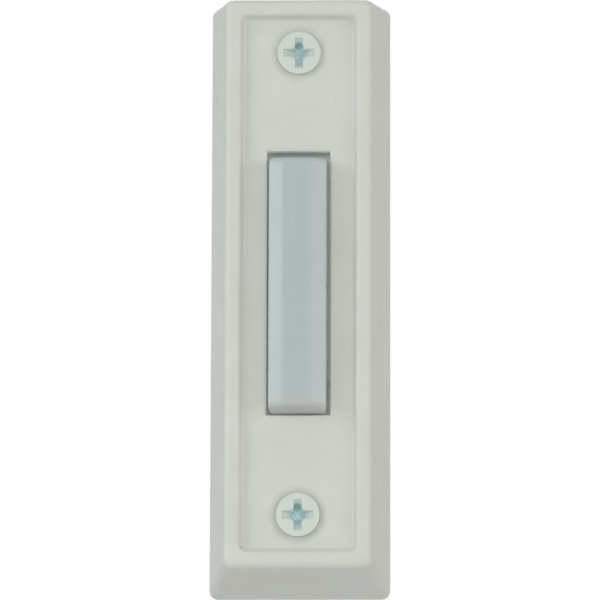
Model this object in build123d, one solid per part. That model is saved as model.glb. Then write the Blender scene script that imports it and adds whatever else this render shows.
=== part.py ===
from build123d import *
import os
from math import atan2, cos, degrees, pi, radians, sin, tan

# A wired doorbell push button for a door frame: a one-piece cover with leaning sides and a sunk
# panel, a lit push bar in the panel's window, and a base behind it with the switch, the lamp and
# the two wire terminals.
# Millimetres. The origin is the middle of the cover's back edge, on the wall. +Z is up along the
# long side, +X is to the right seen from the front, and the front faces -Y.
# A height is a distance in front of the wall.

# Cover
COVER_HEIGHT = 80.0
COVER_WIDTH = 23.8
COVER_DEPTH = 14.0
SIDE_LEAN = 2.2            # how far each side leans in from the wall to the front
FRONT_EDGE_RADIUS = 1.15
CORNER_EXTRA = 0.05        # how much rounder the four corners are than the front edge
SIDE_WALL = 1.8            # beside the panel
LEDGE_WIDTH = 1.2          # step inside the cover that the base seats on
CAVITY_CORNER_RADIUS = 0.8
RIM_WIDTH = 2.0            # flat rim around the sunk panel
RECESS_DEPTH = 1.2
RECESS_SLOPE = 0.48        # how far the recess walls lean over their depth
RECESS_CORNER_RADIUS = 1.0
LIP_RADIUS = 0.6           # where the rim falls to the recess
FOOT_RADIUS = 0.5          # where the recess walls meet the panel
PANEL_THICKNESS = 1.6

# Push bar and its window
WINDOW_WIDTH = 8.3
WINDOW_HEIGHT = 35.2
WINDOW_EDGE_RADIUS = 0.3
BAR_GAP = 0.38             # beside the bar, between it and the window
BAR_END_GAP = 0.6          # above and below the bar
BAR_ASIDE = 0.08           # how far the bar sits to the left in its window
BAR_DROP = 0.34            # how far it sits below the window's middle
BAR_PROUD = 2.8            # the bar's front in front of the panel
BAR_FLAT_WIDTH = 3.35
BAR_FACET_DROP = 0.8       # how far the sloped long edges fall
BAR_FACET_RADIUS = 1.5
BAR_END_LEAN = 0.57        # how far each end leans in, from the panel to the bar's front
BAR_END_RADIUS = 0.7
BAR_WALL = 1.2
BAR_FRONT_WALL = 1.4
FLANGE_OVERLAP = 0.9       # flange behind the panel, beyond the window
FLANGE_THICKNESS = 1.0
PRESS_TRAVEL = 1.4
GUIDE_CLEARANCE = 0.25
GUIDE_WIDTH = 7.0
GUIDE_THICKNESS = 1.0
GUIDE_OVERLAP = 0.5        # guide left beside the flange at full press
PLUNGER_WIDTH = 2.4
PLUNGER_THICKNESS = 1.2
PLUNGER_PLAY = 0.1         # between the plunger and the leaf at rest

# Mounting screws and the bosses that they pass through
SCREW_SPACING = 61.6
SCREW_LENGTH = 25.0
SCREW_HEAD_DIAMETER = 5.7
SCREW_HEAD_LAND = 0.35
SCREW_HEAD_PROUD = 0.4     # the head's face in front of the panel
SCREW_HEAD_ANGLE = 82.0
SCREW_SHANK_DIAMETER = 2.5
SCREW_THREAD_DIAMETER = 3.0
SCREW_THREAD_START = 0.4   # behind the wall plane
SCREW_TIP_LENGTH = 2.8
SEAT_CLEARANCE = 0.05
SCREW_HOLE_CLEARANCE = 0.3
BOSS_WALL = 1.5
CROSS_SPAN = 4.15
CROSS_WING = 1.05
CROSS_CORE = 2.1
CROSS_DEPTH = 2.0
CROSS_TIP = 0.9

# Base
WIRE_SPACE_DEPTH = 4.2     # from the wall to the back of the base
BASE_THICKNESS = 1.4
BASE_CLEARANCE = 0.15
BOSS_CLEARANCE = 0.2
SNAP_REACH = 0.45
SNAP_HEIGHT = 1.2
SNAP_LENGTH = 6.0
SNAP_SPACING = 28.0
SNAP_PLAY = 0.05
STAKE_WIDTH = 1.2          # square posts
STAKE_HEAD_WIDTH = 2.3
STAKE_HEAD_HEIGHT = 0.6
STAKE_HEAD_LEAN = 0.4
STAKE_CLEARANCE = 0.05

# Return springs
SPRING_SPACING = 25.0
SPRING_DIAMETER = 4.2
SPRING_WIRE = 0.4
SPRING_TURNS = 5
SPRING_STEPS = 10          # straight steps in each turn
SPRING_POST_CLEARANCE = 0.25
SPRING_POST_HEIGHT = 1.6

# Contacts and terminals
ARM_WIDTH = 2.0
ARM_WALL_GAP = 0.8         # between the contact arms and the cover's long walls
LEAF_THICKNESS = 0.25
LEAF_BEND_RADIUS = 0.9
LEAF_RAMP_LENGTH = 3.4
STRIP_THICKNESS = 0.6
PLATE_THICKNESS = 0.6
CONTACT_OFFSET = 4.0       # below the middle
DIMPLE_DIAMETER = 1.6
DIMPLE_HEIGHT = 0.3
RIVET_HEAD_DIAMETER = 2.0
RIVET_HEAD_HEIGHT = 0.4
RIVET_HEAD_CHAMFER = 0.15
RIVET_SHANK_DIAMETER = 1.1
RIVET_CLEARANCE = 0.03
TAB_HEIGHT = 6.2
STRIP_STAKE_OFFSET = 11.5  # below the middle
TERMINAL_WINDOW = 7.6
TERMINAL_SCREW_DIAMETER = 3.0
TERMINAL_SCREW_HEAD_DIAMETER = 5.4
TERMINAL_SCREW_HEAD_HEIGHT = 1.7
TERMINAL_SCREW_HEAD_CHAMFER = 0.5
TERMINAL_SCREW_END = 0.6   # beyond the tapped collar
TERMINAL_SLOT_WIDTH = 0.9
TERMINAL_SLOT_DEPTH = 0.9
THREAD_CLEARANCE = 0.04
COLLAR_WALL = 0.7
COLLAR_HEIGHT = 0.9
WASHER_DIAMETER = 6.6
WASHER_THICKNESS = 0.6
WASHER_CLEARANCE = 0.15

# Lamp, resistor and diode
LAMP_OFFSET = 5.0          # above the middle
LAMP_DIAMETER = 3.0
LAMP_HEIGHT = 4.6
LAMP_DOME_STEPS = 2        # cones that stand for the dome
LAMP_FLANGE_DIAMETER = 3.8
LAMP_FLANGE_HEIGHT = 0.9
LAMP_LEAD_PITCH = 2.54
LAMP_LEAD_RISE = 0.6       # from the higher lead's run to the lamp
LEAD_DIAMETER = 0.5
LEAD_CLEARANCE = 0.02
LEAD_LAP = 1.4             # length of lead that lies on the metal it is joined to
PAD_WIDTH = 3.0
RESISTOR_DIAMETER = 2.0
RESISTOR_WAIST_DIAMETER = 1.65
RESISTOR_LENGTH = 5.6
RESISTOR_CAP_LENGTH = 1.5
DIODE_DIAMETER = 1.8
DIODE_LENGTH = 3.8
COMPONENT_CHAMFER = 0.3

# Heights that follow from these sizes
base_back = WIRE_SPACE_DEPTH
base_front = base_back + BASE_THICKNESS
panel_front = COVER_DEPTH - RECESS_DEPTH
panel_back = panel_front - PANEL_THICKNESS
bar_front = panel_front + BAR_PROUD
bar_inside = bar_front - BAR_FRONT_WALL
flange_back = panel_back - FLANGE_THICKNESS
strip_front = base_front + STRIP_THICKNESS
leaf_tab_front = base_front + LEAF_THICKNESS
plate_front = leaf_tab_front + PLATE_THICKNESS
rivet_front = strip_front + RIVET_HEAD_HEIGHT
contact_gap = PRESS_TRAVEL - PLUNGER_PLAY
leaf_back = rivet_front + contact_gap + DIMPLE_HEIGHT
leaf_front = leaf_back + LEAF_THICKNESS
diode_axis = max(strip_front + LEAD_DIAMETER / 2, base_front + DIODE_DIAMETER / 2) + LEAD_CLEARANCE
resistor_axis = max(plate_front + LEAD_DIAMETER / 2, base_front + RESISTOR_DIAMETER / 2) + LEAD_CLEARANCE
lamp_back = max(diode_axis, resistor_axis) + LAMP_LEAD_RISE
head_front = panel_front + SCREW_HEAD_PROUD
washer_back = base_front - WASHER_THICKNESS

# Widths and places that follow from them
bar_width = WINDOW_WIDTH - 2 * BAR_GAP
bar_height = WINDOW_HEIGHT - 2 * BAR_END_GAP
hollow_width = bar_width - 2 * BAR_WALL
hollow_height = bar_height - 2 * BAR_WALL
flange_width = WINDOW_WIDTH + 2 * FLANGE_OVERLAP
flange_height = WINDOW_HEIGHT + 2 * FLANGE_OVERLAP
cavity_inset = SIDE_LEAN * panel_back / COVER_DEPTH + SIDE_WALL
cavity_width = COVER_WIDTH - 2 * cavity_inset
cavity_height = COVER_HEIGHT - 2 * cavity_inset
pocket_width = cavity_width + 2 * LEDGE_WIDTH
pocket_height = cavity_height + 2 * LEDGE_WIDTH
screw_hole_diameter = SCREW_THREAD_DIAMETER + 2 * SCREW_HOLE_CLEARANCE
boss_diameter = screw_hole_diameter + 2 * BOSS_WALL
boss_opening = boss_diameter + 2 * BOSS_CLEARANCE
screw_z = SCREW_SPACING / 2
terminal_z = (flange_height / 2 + screw_z - boss_opening / 2) / 2
arm_outer = cavity_width / 2 - ARM_WALL_GAP
arm_inner = arm_outer - ARM_WIDTH
arm_x = (arm_inner + arm_outer) / 2
tab_width = 2 * arm_outer
tab_inner_z = terminal_z - TAB_HEIGHT / 2
contact_z = -CONTACT_OFFSET
spring_z = SPRING_SPACING / 2
spring_post_diameter = SPRING_DIAMETER - 2 * SPRING_WIRE - 2 * SPRING_POST_CLEARANCE
lamp_z = LAMP_OFFSET
upper_lead_z = lamp_z + LAMP_LEAD_PITCH / 2
lower_lead_z = lamp_z - LAMP_LEAD_PITCH / 2
strip_end_z = contact_z + ARM_WIDTH / 2
resistor_z = (upper_lead_z + tab_inner_z) / 2
diode_z = (lower_lead_z + strip_end_z) / 2
stake_opening = STAKE_WIDTH + 2 * STAKE_CLEARANCE
plate_stakes = ((arm_x, terminal_z), (-arm_x, terminal_z))
strip_stakes = ((arm_x, -terminal_z), (-arm_x, -STRIP_STAKE_OFFSET))
tapped_diameter = TERMINAL_SCREW_DIAMETER + 2 * THREAD_CLEARANCE

UP_AND_DOWN = (1, -1)
THROUGH = 1.0              # how far a cutter runs past the face that it opens
WIRE_SIDES = 6             # a hexagon stands for the section of a round wire


def at(height):
    """Sketch plane parallel to the wall, with X and Z as its axes."""
    return Plane.XZ.offset(height)


def block(width, tall, low, high, x=0.0, z=0.0, radius=0.0):
    """Straight-sided block between two heights."""
    outline = RectangleRounded(width, tall, radius) if radius else Rectangle(width, tall)
    return extrude(at(low) * Pos(x, z) * outline, amount=high - low)


def rod(diameter, low, high, x=0.0, z=0.0):
    """Round rod square to the wall, between two heights."""
    return extrude(at(low) * Pos(x, z) * Circle(diameter / 2), amount=high - low)


def turned(profile, x=0.0, z=0.0):
    """Turned piece from (radius, height) points, about an axis square to the wall."""
    outline = Polyline([(radius, -height) for radius, height in profile], close=True)
    return Pos(x, 0, z) * revolve(make_face(outline), Axis.Y)


def tapered(width, tall, low, high, lean):
    """Block whose four sides lean in, or out where the lean is negative, between two heights."""
    body = block(width, tall, low, high)
    sides = body.faces().filter_by(Axis.Y, reverse=True)
    return draft(sides, at(low), degrees(atan2(lean, high - low)))


def soften_corners(body, radius):
    """Round the leaning edges of a tapered block."""
    ends = body.faces().filter_by(Axis.Y).edges()
    return fillet([edge for edge in body.edges() if edge not in ends], radius)


def wire(path, diameter):
    """Wire along a path of straight steps, with mitred bends."""
    section = Plane(origin=path @ 0, z_dir=path % 0) * RegularPolygon(diameter / 2, WIRE_SIDES)
    return sweep(section, path=path, transition=Transition.RIGHT)


def cover():
    """One-piece moulding: leaning sides, sunk panel, bosses, base ledge, bar guides and snaps."""
    body = tapered(COVER_WIDTH, COVER_HEIGHT, 0, COVER_DEPTH, SIDE_LEAN)
    body = soften_corners(body, FRONT_EDGE_RADIUS + CORNER_EXTRA)
    body = fillet(body.edges().group_by(Axis.Y)[0], FRONT_EDGE_RADIUS)
    body -= recess()
    lip = body.faces().sort_by(Axis.Y)[0].inner_wires()[0]
    body = fillet(lip.edges(), LIP_RADIUS)
    panel = body.faces().filter_by(Axis.Y).sort_by(Axis.Y)[1]
    body = fillet(panel.outer_wire().edges(), FOOT_RADIUS)
    body -= block(WINDOW_WIDTH, WINDOW_HEIGHT, panel_back - THROUGH, COVER_DEPTH)
    panel = body.faces().filter_by(Axis.Y).sort_by(Axis.Y)[1]
    body = fillet(panel.inner_wires()[0].edges(), WINDOW_EDGE_RADIUS)
    body -= block(cavity_width, cavity_height, 0, panel_back, radius=CAVITY_CORNER_RADIUS)
    body -= block(pocket_width, pocket_height, -THROUGH, base_front, radius=CAVITY_CORNER_RADIUS)
    for side in UP_AND_DOWN:
        body += rod(boss_diameter, 0, panel_back + PANEL_THICKNESS / 2, z=side * screw_z)
        body += bar_guide(side)
        body += base_snaps(side * SNAP_SPACING / 2)
    for side in UP_AND_DOWN:
        body -= rod(screw_hole_diameter, -THROUGH, COVER_DEPTH, z=side * screw_z)
        body -= countersink(side * screw_z)
    return body


def recess():
    """Cutter for the sunk panel, run on past the rim at the same slope."""
    inset = 2 * (SIDE_LEAN + RIM_WIDTH + RECESS_SLOPE)
    past_rim = COVER_DEPTH + RECESS_DEPTH
    lean = -2 * RECESS_SLOPE
    cutter = tapered(COVER_WIDTH - inset, COVER_HEIGHT - inset, panel_front, past_rim, lean)
    return soften_corners(cutter, RECESS_CORNER_RADIUS)


def bar_guide(side):
    """Wall behind the panel that the end of the bar's flange slides along."""
    middle = flange_height / 2 + GUIDE_CLEARANCE + GUIDE_THICKNESS / 2
    low = panel_back - PRESS_TRAVEL - GUIDE_OVERLAP
    high = panel_back + PANEL_THICKNESS / 2
    return block(GUIDE_WIDTH, GUIDE_THICKNESS, low, high, z=side * middle)


def base_snaps(z):
    """Pair of wedges on the long walls that hold the base against its ledge."""
    wall = pocket_width / 2
    root = wall + SNAP_REACH
    top = base_back - SNAP_PLAY
    profile = [(root, -top), (wall - SNAP_REACH, -top), (wall, SNAP_HEIGHT - top), (root, SNAP_HEIGHT - top)]
    wedge = extrude(make_face(Polyline(profile, close=True)), amount=SNAP_LENGTH / 2, both=True)
    return Pos(0, 0, z) * (wedge + mirror(wedge, Plane.YZ))


def head_cone(clearance):
    """Heights and radii of a screw head's cone, from its wide edge to the shank."""
    wide = SCREW_HEAD_DIAMETER / 2
    narrow = SCREW_SHANK_DIAMETER / 2
    start = head_front - SCREW_HEAD_LAND
    drop = (wide - narrow) / tan(radians(SCREW_HEAD_ANGLE / 2))
    return (wide + clearance, start), (narrow + clearance, start - drop)


def countersink(z):
    """Cutter for the seat of a screw head, open to the front."""
    wide, narrow = head_cone(SEAT_CLEARANCE)
    front = (wide[0], COVER_DEPTH)
    return turned([(0, narrow[1]), narrow, wide, front, (0, COVER_DEPTH)], z=z)


def push_bar():
    """Hollow translucent bar with sloped long edges, a flange behind the panel and a plunger."""
    bar = Pos(-BAR_ASIDE, 0, -BAR_DROP) * bar_shell()
    bar += block(flange_width, flange_height, flange_back, panel_back, radius=BAR_END_RADIUS)
    bar -= bar_hollow()
    web_high = bar_inside + BAR_FRONT_WALL / 2
    bar += block(hollow_width + BAR_WALL, PLUNGER_THICKNESS, flange_back, web_high, z=contact_z)
    bar += block(PLUNGER_WIDTH, PLUNGER_THICKNESS, leaf_front + PLUNGER_PLAY, web_high, z=contact_z)
    for side in UP_AND_DOWN:
        bar += rod(spring_post_diameter, bar_inside - SPRING_POST_HEIGHT, web_high, z=side * spring_z)
    return bar


def bar_shell():
    """Outer form of the bar: a faceted section along Z, whose ends lean in and are rounded over."""
    half, flat = bar_width / 2, BAR_FLAT_WIDTH / 2
    shoulder = bar_front - BAR_FACET_DROP
    corners = [
        (-half, -flange_back), (-half, -shoulder), (-flat, -bar_front),
        (flat, -bar_front), (half, -shoulder), (half, -flange_back),
    ]
    section = make_face(Polyline(corners, close=True))
    ridge = section.vertices().group_by(Axis.Y)[0]
    section = fillet(ridge, BAR_FACET_RADIUS)
    shell = extrude(section, amount=bar_height, both=True) & bar_side_view()
    ends = shell.faces().filter_by(lambda face: abs(face.normal_at().Z) > abs(face.normal_at().Y))
    ends = ends.filter_by(lambda face: abs(face.normal_at().Z) > abs(face.normal_at().X))
    edges = [edge for face in ends for edge in face.edges()]
    across = [edge for edge in edges if abs(edge.center().X) < THROUGH and edge.center().Y > -bar_inside]
    return fillet([edge for edge in edges if edge not in across], BAR_END_RADIUS)


def bar_hollow():
    """Cutter for the room inside the bar."""
    low = flange_back - THROUGH
    return block(hollow_width, hollow_height, low, bar_inside, -BAR_ASIDE, -BAR_DROP, BAR_END_RADIUS)


def bar_side_view():
    """The bar seen from the side, run across its width: straight in the window, leaning in front of it."""
    base, front = bar_height / 2, bar_height / 2 - BAR_END_LEAN
    outline = [
        (-flange_back, -base), (-panel_front, -base), (-bar_front, -front),
        (-bar_front, front), (-panel_front, base), (-flange_back, base),
    ]
    return extrude(Plane.YZ * make_face(Polyline(outline, close=True)), amount=bar_width, both=True)


def switch_base():
    """Moulded plate that seats on the cover's ledge and carries the switch, lamp and terminals."""
    width = pocket_width - 2 * BASE_CLEARANCE
    tall = pocket_height - 2 * BASE_CLEARANCE
    base = block(width, tall, base_back, base_front, radius=CAVITY_CORNER_RADIUS)
    for side in UP_AND_DOWN:
        base -= rod(boss_opening, base_back - THROUGH, base_front + THROUGH, z=side * screw_z)
        base -= block(
            TERMINAL_WINDOW, TERMINAL_WINDOW, base_back - THROUGH, base_front + THROUGH, z=side * terminal_z
        )
        base += rod(spring_post_diameter, base_back, base_front + SPRING_POST_HEIGHT, z=side * spring_z)
    for x, z in plate_stakes:
        base += stake(x, z, plate_front)
    for x, z in strip_stakes:
        base += stake(x, z, strip_front)
    pad_height = LAMP_LEAD_PITCH - 2 * LEAD_DIAMETER
    return base + block(PAD_WIDTH, pad_height, base_back, lamp_back, z=lamp_z)


def stake(x, z, seat):
    """Square post through a metal strip, with its end spread to a head that holds the strip down."""
    head = tapered(STAKE_HEAD_WIDTH, STAKE_HEAD_WIDTH, seat, seat + STAKE_HEAD_HEIGHT, STAKE_HEAD_LEAN)
    return Pos(x, 0, z) * head + block(STAKE_WIDTH, STAKE_WIDTH, base_back, seat, x, z)


def stake_hole(x, z, low, high):
    """Cutter for the opening that a stake passes through."""
    return block(stake_opening, stake_opening, low - THROUGH, high + THROUGH, x, z)


def return_spring(z):
    """Compression coil with its two ends ground flat on the base and inside the bar."""
    length = bar_inside - base_front
    radius = (SPRING_DIAMETER - SPRING_WIRE) / 2
    steps = SPRING_TURNS * SPRING_STEPS
    points = []
    for step in range(steps + 1):
        turn = 2 * pi * step / SPRING_STEPS
        height = base_front + length * step / steps
        points.append((radius * cos(turn), -height, z + radius * sin(turn)))
    ground = block(2 * SPRING_DIAMETER, 2 * SPRING_DIAMETER, base_front, bar_inside, z=z)
    return wire(Polyline(points), SPRING_WIRE) & ground


def tapped_collar(low, z):
    """Collar drawn up around a tapped hole, for more thread."""
    outer = tapped_diameter + 2 * COLLAR_WALL
    return rod(outer, low, low + COLLAR_HEIGHT, z=z)


def contact_leaf():
    """Bronze leaf: a tab under the upper terminal, a ramp, a long arm and a dimpled cross arm."""
    tab = block(tab_width, TAB_HEIGHT, base_front, leaf_tab_front, z=terminal_z)
    for x, z in plate_stakes:
        tab -= stake_hole(x, z, base_front, leaf_tab_front)
    tab -= rod(tapped_diameter, base_front - THROUGH, leaf_tab_front + THROUGH, z=terminal_z)
    tab_middle = (base_front + leaf_tab_front) / 2
    arm_middle = (leaf_back + leaf_front) / 2
    ramp_top = tab_inner_z - LEAF_BEND_RADIUS
    path = FilletPolyline(
        (-tab_middle, terminal_z - TAB_HEIGHT / 2), (-tab_middle, ramp_top),
        (-arm_middle, ramp_top - LEAF_RAMP_LENGTH), (-arm_middle, contact_z - ARM_WIDTH / 2),
        radius=LEAF_BEND_RADIUS,
    )
    arm = extrude(Plane.YZ.offset(arm_inner) * trace(path, LEAF_THICKNESS), amount=ARM_WIDTH)
    reach = arm_outer + ARM_WIDTH / 2
    cross = block(
        reach, ARM_WIDTH, leaf_back, leaf_front, x=arm_outer - reach / 2, z=contact_z
    )
    return tab + arm + cross + contact_dimple()


def contact_dimple():
    """Domed contact pressed out of the leaf, towards the wall."""
    edge = DIMPLE_DIAMETER / 2
    ball = (edge**2 + DIMPLE_HEIGHT**2) / (2 * DIMPLE_HEIGHT)
    tip = leaf_back - DIMPLE_HEIGHT
    dome = Pos(0, -tip - ball, contact_z) * Sphere(ball)
    return dome & rod(DIMPLE_DIAMETER, tip, leaf_back, z=contact_z)


def fixed_contact():
    """Brass strip on the base: a tapped tab at the lower terminal, an arm and a contact arm."""
    arm_top = strip_end_z
    arm_low = -terminal_z
    reach = arm_outer + ARM_WIDTH / 2
    strip = block(tab_width, TAB_HEIGHT, base_front, strip_front, z=-terminal_z)
    strip += block(
        ARM_WIDTH, arm_top - arm_low, base_front, strip_front, x=-arm_x, z=(arm_top + arm_low) / 2
    )
    strip += block(reach, ARM_WIDTH, base_front, strip_front, x=reach / 2 - arm_outer, z=contact_z)
    strip += tapped_collar(strip_front, -terminal_z)
    strip -= rod(tapped_diameter, base_front - THROUGH, strip_front + COLLAR_HEIGHT + THROUGH, z=-terminal_z)
    for x, z in strip_stakes:
        strip -= stake_hole(x, z, base_front, strip_front)
    rivet_hole = RIVET_SHANK_DIAMETER + 2 * RIVET_CLEARANCE
    return strip - rod(rivet_hole, base_front - THROUGH, strip_front + THROUGH, z=contact_z)


def contact_rivet():
    """Contact point set in the end of the brass strip."""
    head = rod(RIVET_HEAD_DIAMETER, strip_front, rivet_front, z=contact_z)
    head = chamfer(head.edges().group_by(Axis.Y)[0], RIVET_HEAD_CHAMFER)
    return head + rod(RIVET_SHANK_DIAMETER, base_front, strip_front, z=contact_z)


def terminal_plate():
    """Tapped brass plate staked over the leaf's tab, which takes the upper terminal screw."""
    plate = block(tab_width, TAB_HEIGHT, leaf_tab_front, plate_front, z=terminal_z)
    plate += tapped_collar(plate_front, terminal_z)
    plate -= rod(tapped_diameter, leaf_tab_front - THROUGH, plate_front + COLLAR_HEIGHT + THROUGH, z=terminal_z)
    for x, z in plate_stakes:
        plate -= stake_hole(x, z, leaf_tab_front, plate_front)
    return plate


def terminal_screw(z):
    """Slotted screw put in from the back, which clamps a bell wire under its washer."""
    seat = plate_front if z > 0 else strip_front
    end = seat + COLLAR_HEIGHT + TERMINAL_SCREW_END
    head_back = washer_back - TERMINAL_SCREW_HEAD_HEIGHT
    head = rod(TERMINAL_SCREW_HEAD_DIAMETER, head_back, washer_back, z=z)
    head = chamfer(head.edges().group_by(Axis.Y)[-1], TERMINAL_SCREW_HEAD_CHAMFER)
    head -= block(
        TERMINAL_SCREW_HEAD_DIAMETER + THROUGH, TERMINAL_SLOT_WIDTH,
        head_back - THROUGH, head_back + TERMINAL_SLOT_DEPTH, z=z,
    )
    return head + rod(TERMINAL_SCREW_DIAMETER, washer_back, end, z=z)


def clamp_washer(z):
    """Washer that presses the bell wire against the contact's tab."""
    ring = rod(WASHER_DIAMETER, washer_back, base_front, z=z)
    hole = TERMINAL_SCREW_DIAMETER + 2 * WASHER_CLEARANCE
    return ring - rod(hole, washer_back - THROUGH, base_front + THROUGH, z=z)


def mounting_screw(z):
    """Countersunk cross-recess screw from the panel into the wall."""
    wide, narrow = head_cone(0)
    tip = head_front - SCREW_LENGTH
    thread = SCREW_THREAD_DIAMETER / 2
    lead_in = thread - SCREW_SHANK_DIAMETER / 2
    profile = [
        (0, head_front), (wide[0], head_front), wide, narrow,
        (narrow[0], lead_in - SCREW_THREAD_START), (thread, -SCREW_THREAD_START),
        (thread, tip + SCREW_TIP_LENGTH), (0, tip),
    ]
    return turned(profile, z=z) - cross_recess(z)


def cross_recess(z):
    """Cutter for a cross recess: two wings that narrow with depth, and a tapered core."""
    low = head_front - CROSS_DEPTH
    wings = block(CROSS_SPAN, CROSS_WING, low, head_front, z=z)
    wings += block(CROSS_WING, CROSS_SPAN, low, head_front, z=z)
    funnel = tapered(CROSS_TIP, CROSS_TIP, low, head_front, (CROSS_TIP - CROSS_SPAN) / 2)
    core = [(0, low), (CROSS_TIP / 2, low), (CROSS_CORE / 2, head_front), (0, head_front)]
    return (wings & Pos(0, 0, z) * funnel) + turned(core, z=z)


def lamp():
    """Light-emitting lamp: flanged clear body with a domed end, on the base's pad."""
    radius = LAMP_DIAMETER / 2
    flange = LAMP_FLANGE_DIAMETER / 2
    step = lamp_back + LAMP_FLANGE_HEIGHT
    dome = lamp_back + LAMP_HEIGHT - radius
    angles = [pi / 2 * turn / LAMP_DOME_STEPS for turn in range(LAMP_DOME_STEPS)]
    arc = [(radius * cos(angle), dome + radius * sin(angle)) for angle in angles]
    profile = [(0, lamp_back), (flange, lamp_back), (flange, step), (radius, step), *arc, (0, dome + radius)]
    return turned(profile, z=lamp_z)


def lamp_leads():
    """Two bent leads from the lamp to the diode and to the resistor."""
    end = LEAD_DIAMETER / 2 + LEAD_CLEARANCE - arm_x
    leads = []
    for z, height in ((upper_lead_z, resistor_axis), (lower_lead_z, diode_axis)):
        path = Polyline((0, -lamp_back, z), (0, -height, z), (end, -height, z))
        leads.append(wire(path, LEAD_DIAMETER))
    return leads


def long_body(diameter, length, height, z):
    """Round body of a component that lies along Z beside the bar, with its ends bevelled."""
    body = Cylinder(diameter / 2, length)
    body = chamfer(body.edges().filter_by(GeomType.CIRCLE), COMPONENT_CHAMFER)
    return Pos(-arm_x, -height, z) * body


def series_resistor():
    """Resistor body with a thicker cap at each end."""
    body = long_body(RESISTOR_DIAMETER, RESISTOR_LENGTH, resistor_axis, resistor_z)
    waist = Cylinder(RESISTOR_DIAMETER / 2, RESISTOR_LENGTH - 2 * RESISTOR_CAP_LENGTH)
    waist -= Cylinder(RESISTOR_WAIST_DIAMETER / 2, RESISTOR_LENGTH)
    return body - Pos(-arm_x, -resistor_axis, resistor_z) * waist


def straight_lead(height, low, high):
    """Straight lead along Z beside the bar, between two places."""
    return wire(Line((-arm_x, -height, low), (-arm_x, -height, high)), LEAD_DIAMETER)


def resistor_leads():
    """Leads from the resistor to the lamp and onto the terminal plate."""
    half = RESISTOR_LENGTH / 2
    return [
        straight_lead(resistor_axis, resistor_z + half, tab_inner_z + LEAD_LAP),
        straight_lead(resistor_axis, upper_lead_z - LEAD_DIAMETER / 2, resistor_z - half),
    ]


def rectifier_diode():
    """Small diode body."""
    return long_body(DIODE_DIAMETER, DIODE_LENGTH, diode_axis, diode_z)


def diode_leads():
    """Leads from the diode to the lamp and onto the brass strip."""
    half = DIODE_LENGTH / 2
    return [
        straight_lead(diode_axis, diode_z + half, lower_lead_z + LEAD_DIAMETER / 2),
        straight_lead(diode_axis, strip_end_z - LEAD_LAP, diode_z - half),
    ]


def pair(make, z):
    """The same piece above and below the middle."""
    return [make(side * z) for side in UP_AND_DOWN]


NODES = {
    "cover": cover(),
    "push_bar": push_bar(),
    "switch_base": switch_base(),
    "return_spring_upper": return_spring(spring_z),
    "return_spring_lower": return_spring(-spring_z),
    "contact_leaf": contact_leaf(),
    "fixed_contact": fixed_contact(),
    "contact_rivet": contact_rivet(),
    "terminal_plate": terminal_plate(),
    "terminal_screws": pair(terminal_screw, terminal_z),
    "clamp_washers": pair(clamp_washer, terminal_z),
    "mounting_screws": pair(mounting_screw, screw_z),
    "lamp": lamp(),
    "lamp_leads": lamp_leads(),
    "series_resistor": series_resistor(),
    "resistor_leads": resistor_leads(),
    "rectifier_diode": rectifier_diode(),
    "diode_leads": diode_leads(),
}

os.makedirs("parts", exist_ok=True)
for name, shape in NODES.items():
    solids = Compound(children=shape) if isinstance(shape, list) else shape
    export_step(solids, f"parts/{name}.step")
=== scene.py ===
import logging
import math
from dataclasses import dataclass
from enum import Enum

import bmesh
import bpy
from mathutils import Matrix, Quaternion, Vector


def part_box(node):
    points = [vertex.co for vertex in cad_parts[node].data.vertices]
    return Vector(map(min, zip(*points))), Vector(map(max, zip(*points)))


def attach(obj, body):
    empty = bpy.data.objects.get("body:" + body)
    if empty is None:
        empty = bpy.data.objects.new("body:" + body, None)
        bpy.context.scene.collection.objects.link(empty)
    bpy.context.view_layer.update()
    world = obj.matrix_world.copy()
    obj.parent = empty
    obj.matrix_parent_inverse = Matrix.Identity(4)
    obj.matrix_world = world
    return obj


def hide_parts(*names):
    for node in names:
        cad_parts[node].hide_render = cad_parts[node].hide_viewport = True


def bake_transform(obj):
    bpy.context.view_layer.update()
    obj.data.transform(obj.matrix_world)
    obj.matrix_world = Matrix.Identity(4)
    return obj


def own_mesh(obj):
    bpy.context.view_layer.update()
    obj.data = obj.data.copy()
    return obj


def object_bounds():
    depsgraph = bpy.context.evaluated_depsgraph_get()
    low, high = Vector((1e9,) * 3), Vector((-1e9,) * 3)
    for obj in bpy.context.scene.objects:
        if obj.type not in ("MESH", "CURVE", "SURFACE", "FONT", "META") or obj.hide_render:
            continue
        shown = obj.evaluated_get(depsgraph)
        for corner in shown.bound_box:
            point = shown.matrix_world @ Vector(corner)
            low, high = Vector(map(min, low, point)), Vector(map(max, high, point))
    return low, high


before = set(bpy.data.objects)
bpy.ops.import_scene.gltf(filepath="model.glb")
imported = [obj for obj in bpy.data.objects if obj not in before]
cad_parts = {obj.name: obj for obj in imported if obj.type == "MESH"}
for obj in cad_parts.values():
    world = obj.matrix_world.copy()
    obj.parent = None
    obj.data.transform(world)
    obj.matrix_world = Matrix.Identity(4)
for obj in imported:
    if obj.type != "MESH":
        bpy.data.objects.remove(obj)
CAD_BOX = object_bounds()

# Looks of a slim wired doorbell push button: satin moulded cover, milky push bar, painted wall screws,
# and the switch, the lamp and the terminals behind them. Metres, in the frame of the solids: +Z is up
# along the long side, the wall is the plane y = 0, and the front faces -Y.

LOG = logging.getLogger("doorbell")
MM = 0.001
HOUSING = "housing"
MERGE_DISTANCE = 0.0005 * MM
SHARP_ANGLE = math.radians(32.0)
WHITE = "#ffffff"

# Least part of a face's normal that lies along an axis, for the face to count as square to it
SQUARE_ON = 0.99

# What part of a noise's values the colour and the gloss drift over, and how much finer the gloss drifts
CLOUD_RANGE = (0.35, 0.65)
SMEAR_RANGE = (0.3, 0.7)
SMEAR_FINENESS = 2.3

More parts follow.
